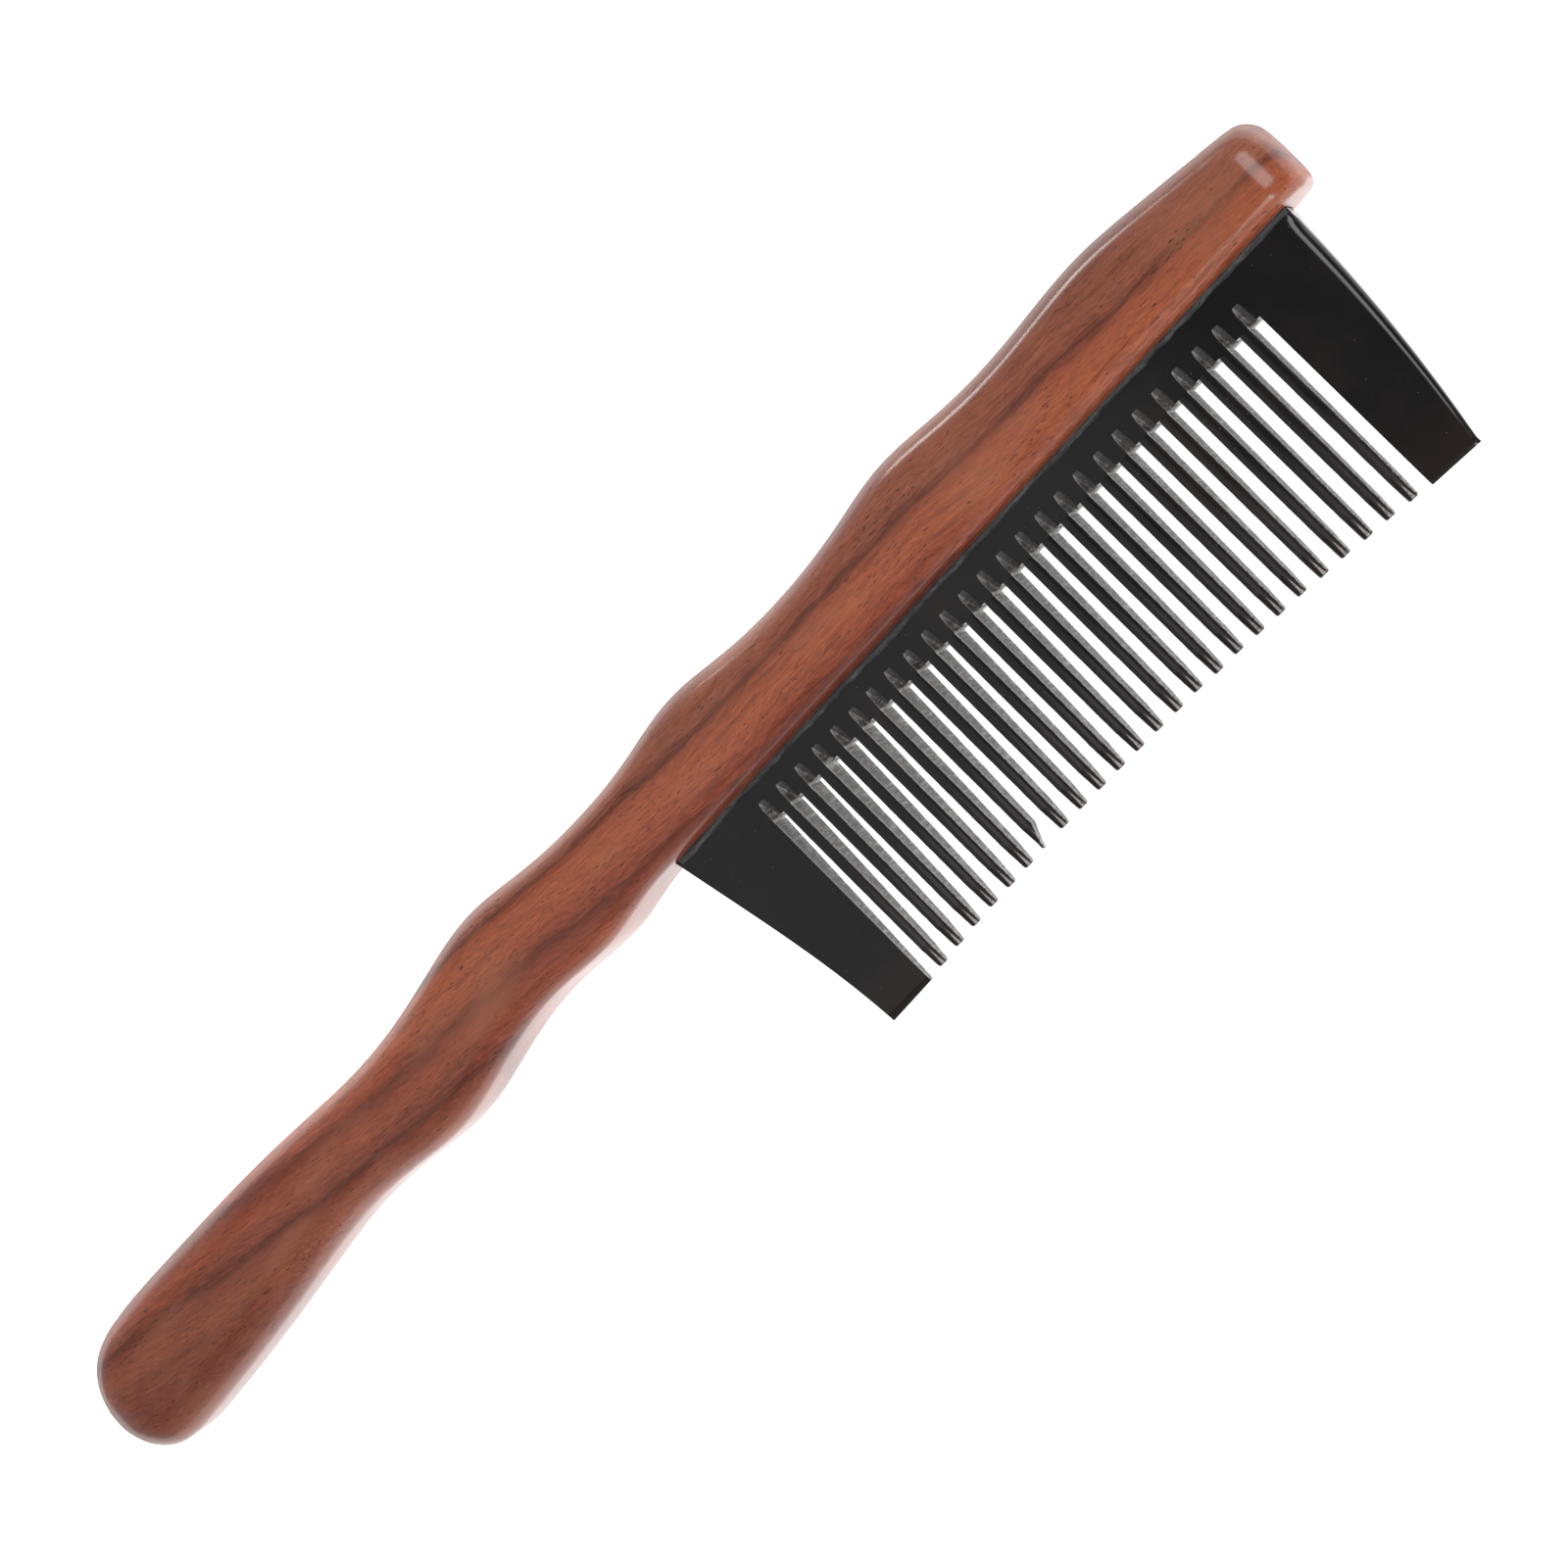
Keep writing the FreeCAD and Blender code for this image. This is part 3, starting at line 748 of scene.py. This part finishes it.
def wood_material():
    """Lacquered reddish-brown wood: long figure, fine fibre, open pores."""
    n = Nodes("lacquered_rosewood")
    x, y, z = n.millimetres()
    layer = wood_layer(n, x, y, z)

    def wood_tone(r, g, b):
        return tone(r, g, b, WOOD_GAIN)

    def shaded(colour, amount, low, high):
        shade = n.scaled(amount, 0.28, 0.72, low, high)
        grey = n.add("CombineColor", {0: shade, 1: shade, 2: shade}).outputs[0]
        return n.mix(1.0, colour, grey, "MULTIPLY")

    # The figure's dark lines break up along strands.
    strand = n.noise(n.spread((x, layer, z), (3.6, 0.36, 1)), 3.0, 0.65)
    broken = n.math("MULTIPLY_ADD", n.math("SUBTRACT", strand, 0.5), 2.0, layer)
    height = n.scaled(broken, FIGURE_LOW, FIGURE_HIGH, 0.0, 1.0)
    span = FIGURE_HIGH - FIGURE_LOW
    stops = [((level - FIGURE_LOW) / span, wood_tone(*shade)) for level, shade in FIGURE]
    colour = n.ramp(height, stops)

    # Streaks of a few tenths of a millimetre that follow the layers.
    streak = n.noise(n.spread((x, layer, z), (24, 0.9, 2)), 4.0, 0.62)
    colour = n.mix(n.times(n.mask(streak, 0.5, 0.75), 0.55), colour, wood_tone(96, 52, 43))
    colour = shaded(colour, strand, 0.8, 1.18)
    fibre = n.noise(n.spread((x, layer, z), (1.7, 0.17, 0.3)), 3.0, 0.7)
    colour = shaded(colour, fibre, 0.68, 1.3)
    # Blotches of lighter, greyer wood.
    blotch = n.noise(n.spread((x, y, z), (17, 6, 6)), 2.0)
    colour = n.mix(n.times(n.mask(blotch, 0.48, 0.75), 0.42), colour, wood_tone(164, 120, 104))
    # Open pores: short dark dashes along the fibre, in patches.
    pores = n.noise(n.spread((x, layer, z), (1.1, 0.15, 0.25)), 1.0, 0.4)
    patches = n.noise(n.spread((x, y, z), (13, 2.6, 4)), 2.0)
    limit = n.math("SUBTRACT", 0.84, n.times(patches, 0.32))
    pore = n.mask(n.math("SUBTRACT", pores, limit), 0.0, 0.05)
    colour = n.mix(n.times(pore, 0.8), colour, wood_tone(56, 27, 24))

    relief = n.math("MULTIPLY_ADD", fibre, 0.25, n.times(pore, -0.7))
    smudge = n.noise(n.spread((x, y, z), (6, 4, 4)), 3.0)
    # The lacquer is thinner on the spine and the ends, so they mirror less at a grazing angle.
    facing = n.add("LayerWeight", {"Blend": 0.5}).outputs["Facing"]
    edge = n.times(n.mask(facing, 0.55, 0.85), n.mask(n.normal()[1], -0.75, -0.35))
    return n.finish({
        "Base Color": colour,
        "Roughness": n.scaled(smudge, 0.3, 0.7, 0.36, 0.48),
        "Specular IOR Level": 0.15,
        "Coat Weight": n.math("MULTIPLY_ADD", edge, -0.75, 0.9),
        "Coat Roughness": 0.19,
        "Normal": n.bump(relief, 0.12, 0.00006),
    })


# Horn, in millimetres about the middle of the roots. Within these distances of the middle
# lie the sawn surfaces, the whole teeth, and the teeth with their outer corners.
SAWN_HALF, TEETH_HALF, GLINT_HALF = 39.6, 37.2, 38.4
SAWN_TOP = 3.5
TAPER = (FULL_HALF - TIP_HALF) / (TAPER_START - GUARD_TIP_Y)
DUSTY_SLOT = -28.5


class HornPlace:
    """Where a point of the horn lies, as node values the horn's looks are made from."""

    def __init__(self, n):
        self.n = n
        self.x, self.y, self.z = n.millimetres()
        self.from_middle = n.math("ADD", self.x, -ROOTS_X)
        self.height = n.math("ADD", self.y, -ROOTS_Y)
        self.to_right = n.normal()[0]
        self.across, self.along, self.upward = (n.math("ABSOLUTE", v) for v in n.normal())
        self.grain = n.noise(self.spread(0.2, 0.33, 0.2), 3.0, 0.6)

    def spread(self, *sizes):
        return self.n.spread((self.x, self.y, self.z), sizes)

    def within(self, half, centre=0.0):
        """1 nearer than half to the centre along the comb, else 0."""
        away = self.n.math("ABSOLUTE", self.n.math("ADD", self.from_middle, -centre))
        return self.n.math("LESS_THAN", away, half)

    def past_nearest(self, shift):
        """Signed distance from the nearest of the places one pitch apart."""
        n = self.n
        count = n.math("ROUND", n.math("MULTIPLY_ADD", self.from_middle, 1 / PITCH, shift))
        moved = n.math("ADD", self.from_middle, shift * PITCH)
        return n.math("SUBTRACT", moved, n.times(count, PITCH))


def sawn_horn(n, place, marks):
    """The colour of the walls between the teeth, the slot ends and the run-outs."""
    grain, height = place.grain, place.height
    pattern = n.math("MULTIPLY_ADD", grain, 0.35, n.times(marks, 0.65))
    grey = n.ramp(pattern, [
        (0.34, tone(52, 50, 50)), (0.47, tone(98, 96, 95)),
        (0.55, tone(126, 124, 122)), (0.66, tone(190, 188, 184)),
    ])
    # Torn, paler fibre along the front edge of each wall.
    below_taper = n.math("SUBTRACT", TAPER_START, height)
    half_here = n.math("SUBTRACT", FULL_HALF, n.times(below_taper, TAPER))
    depth = n.math("SUBTRACT", half_here, n.math("ADD", place.z, -middle_z / MM))
    ragged_depth = n.math("MULTIPLY_ADD", n.math("SUBTRACT", grain, 0.5), 2.2, depth)
    torn = n.mask(ragged_depth, 0.75, 0.3)
    grey = n.mix(n.times(torn, 0.7), grey, tone(176, 174, 172))
    # Painted highlight: a pale ragged line on the wall faces turned upward and towards +x.
    rim = n.times(n.mask(place.upward, 0.25, 0.5), n.mask(place.to_right, 0.05, 0.3))
    grey = n.mix(n.times(rim, n.mask(grain, 0.35, 0.6)), grey, tone(214, 212, 208))
    # Painted highlight: a bright line along the step where the slots meet the run-outs.
    painted_step_line = n.times(n.mask(height, -0.25, -0.1), n.mask(height, 0.3, 0.1))
    painted_step_line = n.times(painted_step_line, n.mask(grain, 0.3, 0.5))
    # The run-outs are darker, but for a strip along their left side.
    left_strip = n.times(n.mask(place.past_nearest(0.5), -0.38, -0.55), n.mask(grain, 0.25, 0.5))
    run_out = n.times(n.mask(height, 0.1, 0.5), n.math("MULTIPLY_ADD", left_strip, -0.85, 0.95))
    dark = n.ramp(grain, [(0.35, tone(46, 44, 44)), (0.65, tone(92, 90, 88))])
    grey = n.mix(run_out, grey, dark)
    # Painted highlight: near white on the slot ends, the sawn faces turned along the teeth.
    painted_slot_end = n.times(n.mask(place.along, 0.75, 0.9), n.math("LESS_THAN", height, 0.4))
    pale = n.math("MAXIMUM", painted_slot_end, painted_step_line)
    grey = n.mix(n.times(pale, 0.8), grey, tone(238, 236, 233))
    # Saw dust left in one slot.
    dust_band = n.times(n.mask(height, -0.9, -0.1), n.mask(height, 0.9, 0.3))
    dust = n.times(place.within(0.95, DUSTY_SLOT), dust_band, n.mask(grain, 0.42, 0.55))
    return n.mix(n.times(dust, 0.9), grey, tone(232, 230, 226))


def polished_horn(n, place, cloud):
    """The colour of the polished faces, with painted sheen and highlights on the teeth towards the
    tips.
    """
    grain, height = place.grain, place.height
    black = n.ramp(cloud, [
        (0.35, (0.0035, 0.0032, 0.0033)), (0.55, (0.007, 0.0058, 0.0056)),
        (0.7, (0.014, 0.0095, 0.008)),
    ])
    thin = n.mask(height, -18.1, -23.1)
    black = n.mix(n.times(thin, 0.6), black, (0.024, 0.0125, 0.0125, 1.0))
    # On each tooth: a painted sheen and a painted pale highlight along its middle line, towards the
    # tip.
    beside = n.math("ABSOLUTE", n.math("ADD", place.past_nearest(0.0), -0.1))
    squared = n.times(place.from_middle, place.from_middle)
    above_arc = n.math("ADD", height, -TIP_Y)
    from_tip = n.math("MULTIPLY_ADD", squared, 1 / (2 * TIP_ARC_RADIUS), above_arc)
    on_teeth = n.times(place.within(TEETH_HALF), n.mask(place.upward, 0.5, 0.8))
    sheen = n.times(n.mask(beside, 0.34, 0.1), n.mask(from_tip, 15.0, 5.0), on_teeth)
    black = n.mix(n.times(sheen, 0.75), black, tone(70, 64, 66))
    tip_highlight_width = n.math("MULTIPLY_ADD", from_tip, -0.09, 0.22)
    painted_tip_highlight = n.mask(n.math("SUBTRACT", tip_highlight_width, beside), -0.02, 0.05)
    painted_tip_highlight = n.times(painted_tip_highlight, on_teeth, n.mask(grain, 0.25, 0.55))
    black = n.mix(n.times(painted_tip_highlight, 0.85), black, tone(196, 188, 188))
    # Painted highlight: a pale ragged streak near the tip, on each tooth's faces turned towards +x.
    painted_edge_glint = n.times(n.mask(height, -19.5, -21.5), n.mask(place.to_right, 0.1, 0.5))
    painted_edge_glint = n.times(painted_edge_glint, place.within(GLINT_HALF), n.mask(grain, 0.3, 0.6))
    black = n.mix(painted_edge_glint, black, tone(150, 140, 138))
    cells = n.add("TexVoronoi", {"Vector": place.spread(1.1, 1.1, 5.0), "Scale": 1.0})
    speck = n.math("LESS_THAN", cells.outputs["Distance"], 0.04)
    return n.mix(n.times(speck, 0.6), black, tone(150, 148, 145))


def horn_material():
    """Black horn: glossy faces, matt grey sawn walls, brown where it is thin."""
    n = Nodes("black_horn")
    place = HornPlace(n)
    marks = n.noise(place.spread(3.0, 0.34, 2.4), 2.0, 0.6)
    cloud = n.noise(place.spread(9, 14, 5), 3.0, 0.6)
    ragged = n.math("MULTIPLY_ADD", place.grain, -0.5, 0.85)
    side = n.mask(place.across, n.math("ADD", ragged, -0.1), n.math("ADD", ragged, 0.1))
    tilted = n.math("SUBTRACT", 1.0, n.mask(place.upward, 0.92, 0.98))
    ramped = n.times(tilted, n.mask(place.height, -1.6, -0.6))
    between = n.times(place.within(SAWN_HALF), n.math("LESS_THAN", place.height, SAWN_TOP))
    sawn = n.times(n.math("MAXIMUM", side, ramped), between)
    relief = n.math("MULTIPLY_ADD", marks, 1.0, n.times(place.grain, 0.5))
    polish = n.math("MULTIPLY_ADD", cloud, 0.08, 0.1)
    return n.finish({
        "Base Color": n.mix(sawn, polished_horn(n, place, cloud), sawn_horn(n, place, marks)),
        "Roughness": n.math("MULTIPLY_ADD", sawn, 0.34, polish),
        "Specular IOR Level": 0.5,
        "Normal": n.bump(n.times(sawn, relief), 0.5, 0.00012),
    })


def glue_material():
    """Cured glue: a grey skin with small pits."""
    n = Nodes("grey_glue")
    where = n.millimetres()
    cloud = n.noise(n.spread(where, (2.2, 0.6, 0.8)), 4.0, 0.65)
    colour = n.ramp(cloud, [
        (0.3, tone(38, 38, 39)), (0.5, tone(64, 64, 65)), (0.7, tone(98, 98, 98)),
    ])
    pit = n.mask(n.noise(n.spread(where, (0.25, 0.2, 0.2)), 2.0, 0.5), 0.62, 0.7)
    relief = n.math("SUBTRACT", n.times(cloud, 0.6), pit)
    return n.finish({
        "Base Color": n.mix(pit, colour, tone(24, 24, 26)),
        "Roughness": n.math("MULTIPLY_ADD", cloud, 0.3, 0.3),
        "Normal": n.bump(relief, 0.6, 0.0001),
    })


def floor_material():
    """A plain pale studio floor that glows evenly, as a light table does."""
    n = Nodes("pale_floor")
    x, y, _ = n.millimetres()
    mottle = n.noise(n.spread((x, y, 0.0), (90, 90, 90)), 2.0)
    colour = n.ramp(mottle, [(0.3, (0.50, 0.50, 0.50)), (0.7, (0.52, 0.52, 0.52))])
    return n.finish({
        "Base Color": colour,
        "Roughness": 0.9,
        "Specular IOR Level": 0.2,
        "Emission Color": (1.0, 1.0, 1.0, 1.0),
        "Emission Strength": 1.12,
    })


def dress(piece, material):
    piece.data.materials.clear()
    piece.data.materials.append(material)


# ------------------------------------------------------------------ pieces

wood = wood_material()
horn = horn_material()
glue = glue_material()

handle = make_handle()
dress(handle, wood)
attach(handle, "root")
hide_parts("wood_handle")

bead = make_glue()
dress(bead, glue)
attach(bead, "root")
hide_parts("glue_bond")

slab = make_slab()
dress(slab, horn)
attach(slab, "root")
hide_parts("horn_comb_slab")

# ------------------------------------------------------------------ floor, light, camera

FLOOR_HALF = 3.0


def make_floor():
    mesh = bmesh.new()
    bmesh.ops.create_grid(mesh, x_segments=8, y_segments=8, size=FLOOR_HALF)
    piece = new_object("studio_floor", mesh)
    dress(piece, floor_material())


def soft_light(name, place, target, width, height, brightness):
    """An oval soft box whose face has the given brightness (1 = paper white)."""
    data = bpy.data.lights.new(name, "AREA")
    data.shape = "ELLIPSE"
    data.size, data.size_y = width, height
    data.energy = brightness * math.pi * (math.pi / 4.0 * width * height)
    light = bpy.data.objects.new(name, data)
    bpy.context.scene.collection.objects.link(light)
    light.location = place
    light.rotation_euler = (Vector(target) - Vector(place)).to_track_quat("-Z", "Y").to_euler()


def aim_camera(eye, target, up, lens):
    """A camera at eye looking at target, with up pointing up in the picture."""
    back = (Vector(eye) - Vector(target)).normalized()
    right = Vector(up).cross(back).normalized()
    turned = Matrix((right, back.cross(right), back)).transposed()
    data = bpy.data.cameras.new("camera")
    data.sensor_width = 36.0
    data.lens = lens
    data.clip_start = 0.01
    camera = bpy.data.objects.new("camera", data)
    bpy.context.scene.collection.objects.link(camera)
    camera.matrix_world = Matrix.Translation(eye) @ turned.to_4x4()
    bpy.context.scene.camera = camera


def soft_world():
    """Plain white surroundings, dimmer overhead and beyond the head."""
    world = bpy.data.worlds.new("studio")
    world.use_nodes = True
    tree = world.node_tree
    split = tree.nodes.new("ShaderNodeSeparateXYZ")
    tree.links.new(tree.nodes.new("ShaderNodeTexCoord").outputs["Generated"], split.inputs[0])

    def faded(direction, start, end, bright, dim):
        fade = tree.nodes.new("ShaderNodeMapRange")
        values = {"From Min": start, "From Max": end, "To Min": bright, "To Max": dim}
        for name, value in values.items():
            fade.inputs[name].default_value = value
        tree.links.new(split.outputs[direction], fade.inputs["Value"])
        return fade.outputs[0]

    strength = tree.nodes.new("ShaderNodeMath")
    strength.operation = "MULTIPLY"
    tree.links.new(faded("Z", 0.35, 0.95, 0.55, 0.2), strength.inputs[0])
    tree.links.new(faded("X", 0.1, 0.8, 1.0, 0.45), strength.inputs[1])
    background = tree.nodes["Background"]
    tree.links.new(strength.outputs[0], background.inputs["Strength"])
    background.inputs["Color"].default_value = (0.97, 0.98, 1.0, 1.0)
    bpy.context.scene.world = world


make_floor()
centre = (0.0, 0.0, middle_z)
soft_light("key_soft_box", (0.46, 0.10, 0.72), (0.03, 0.0, 0.0), 0.50, 0.56, 3.9)
soft_light("spine_strip", (0.0, 0.55, 0.14), (0.05, 0.0, 0.01), 0.18, 0.10, 11.5)
soft_light("front_fill", (0.13, -0.55, 0.40), centre, 0.16, 0.34, 6.0)
soft_light("overhead_panel", (-0.32, 0.06, 0.8), centre, 0.56, 0.56, 0.35)
soft_world()
bpy.context.scene.view_settings.view_transform = "Standard"

aim_camera(
    eye=(0.12705, -0.03662, 0.32235),
    target=(0.01675, 0.00546, 0.0065),
    up=(0.68240, 0.71688, -0.14282),
    lens=69.40,
)
